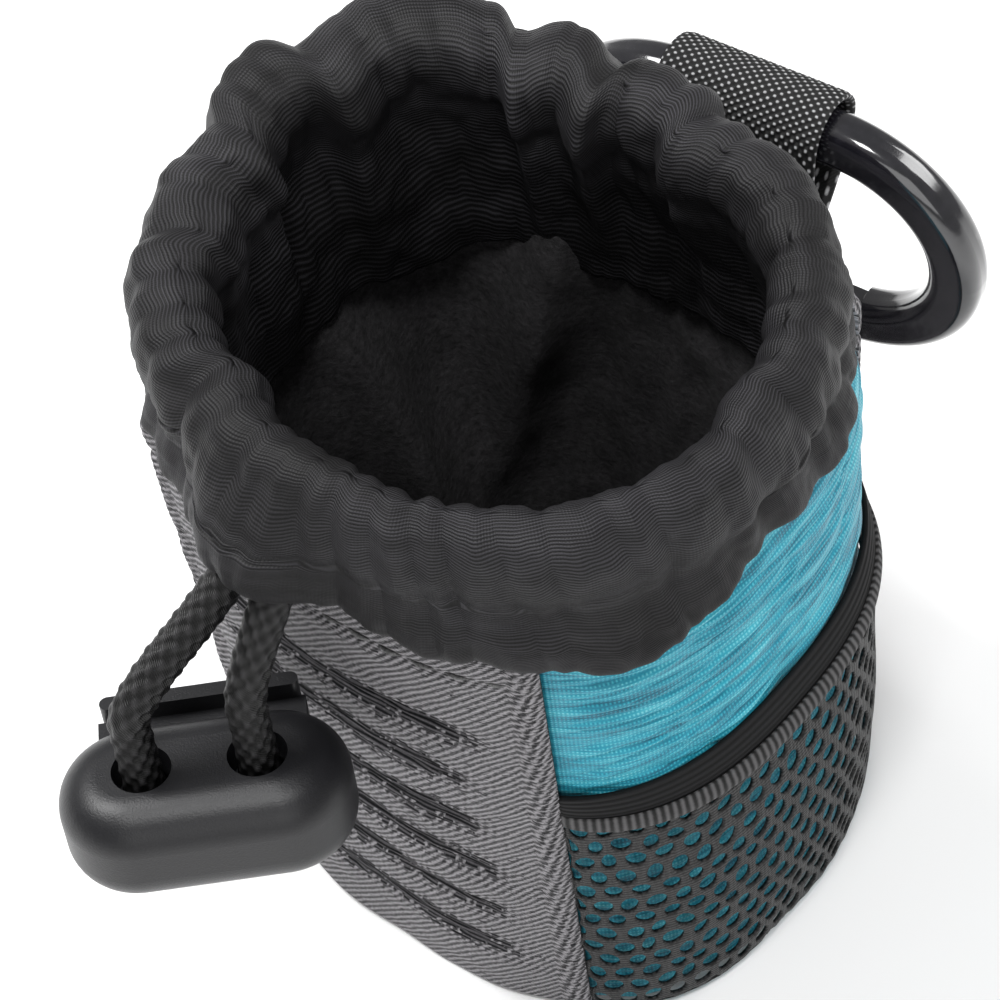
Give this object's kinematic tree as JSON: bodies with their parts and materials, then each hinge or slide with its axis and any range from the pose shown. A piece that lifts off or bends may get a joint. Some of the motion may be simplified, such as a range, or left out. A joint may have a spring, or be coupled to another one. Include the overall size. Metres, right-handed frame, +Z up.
{
  "type": "drawstring pouch",
  "caption": "Small drawstring pouch with a gathered collar, a push-button cord lock, mesh side pockets and a carabiner hung in a webbing loop.",
  "frame": {"origin": "centre of the base on the resting surface", "axes": "+Z up through the mouth, front panel and cord lock towards -Y, carabiner loop towards +Y"},
  "size_m": [0.0796, 0.112, 0.0966],
  "materials": {
    "twill": "heather grey twill",
    "teal_nylon": "creased light teal nylon",
    "lining": "brushed black",
    "black_faille": "fine-ribbed black nylon with a soft sheen",
    "cord": "braided black",
    "mesh": "open knitted mesh",
    "binding": "grey grosgrain",
    "elastic": "matt black elastic",
    "webbing": "pebbled nylon webbing",
    "lock_plastic": "satin black",
    "carabiner_metal": "glossy black",
    "spring_steel": "plain"
  },
  "bodies": {
    "pouch": {"base_panel": "twill", "front_panel": "twill", "back_panel": "twill", "side_panel_right": "teal_nylon", "side_panel_left": "teal_nylon", "lining_wall": "lining", "lining_base": "lining", "collar_sleeve": "black_faille", "collar_facing": "black_faille", "drawcord_casing": "black_faille", "drawcord_in_casing": "cord", "drawcord_free": "cord", "mesh_pocket_right": "mesh", "mesh_pocket_left": "mesh", "pocket_binding_right": "binding", "pocket_binding_left": "binding", "pocket_elastic_right": "elastic", "pocket_elastic_left": "elastic", "webbing_loop": "webbing"},
    "lock": {"lock_body": "lock_plastic", "lock_spring": "spring_steel"},
    "plunger": {"lock_plunger": "lock_plastic"},
    "carabiner": {"carabiner_frame": "carabiner_metal", "gate_pin": "spring_steel", "gate_spring": "spring_steel"},
    "gate": {"carabiner_gate": "carabiner_metal"}
  },
  "joints": [
    {"name": "lock_slide", "type": "slide", "parent": "pouch", "child": "lock", "axis": [-0.124, 0.122, 0.9848], "range_m": [0, 0.008], "deforming": ["drawcord_free"]},
    {"name": "plunger_press", "type": "slide", "parent": "lock", "child": "plunger", "axis": [0.7032, -0.6894, 0.1739], "range_m": [0, 0.0025], "stiffness_N_per_m": 800, "springref_m": -0.002, "deforming": ["lock_spring"]},
    {"name": "carabiner_swing", "type": "hinge", "parent": "pouch", "child": "carabiner", "pos_m": [0, 0.043, 0.0774], "axis": [0.9903, 0.1392, 0], "range_deg": [-8, 110]},
    {"name": "gate_open", "type": "hinge", "parent": "carabiner", "child": "gate", "pos_m": [-0.00777, 0.04191, 0.0477], "axis": [0.1392, -0.9903, 0], "range_deg": [0, 25], "stiffness_Nm_per_rad": 0.05, "springref_deg": -11.46}
  ]
}
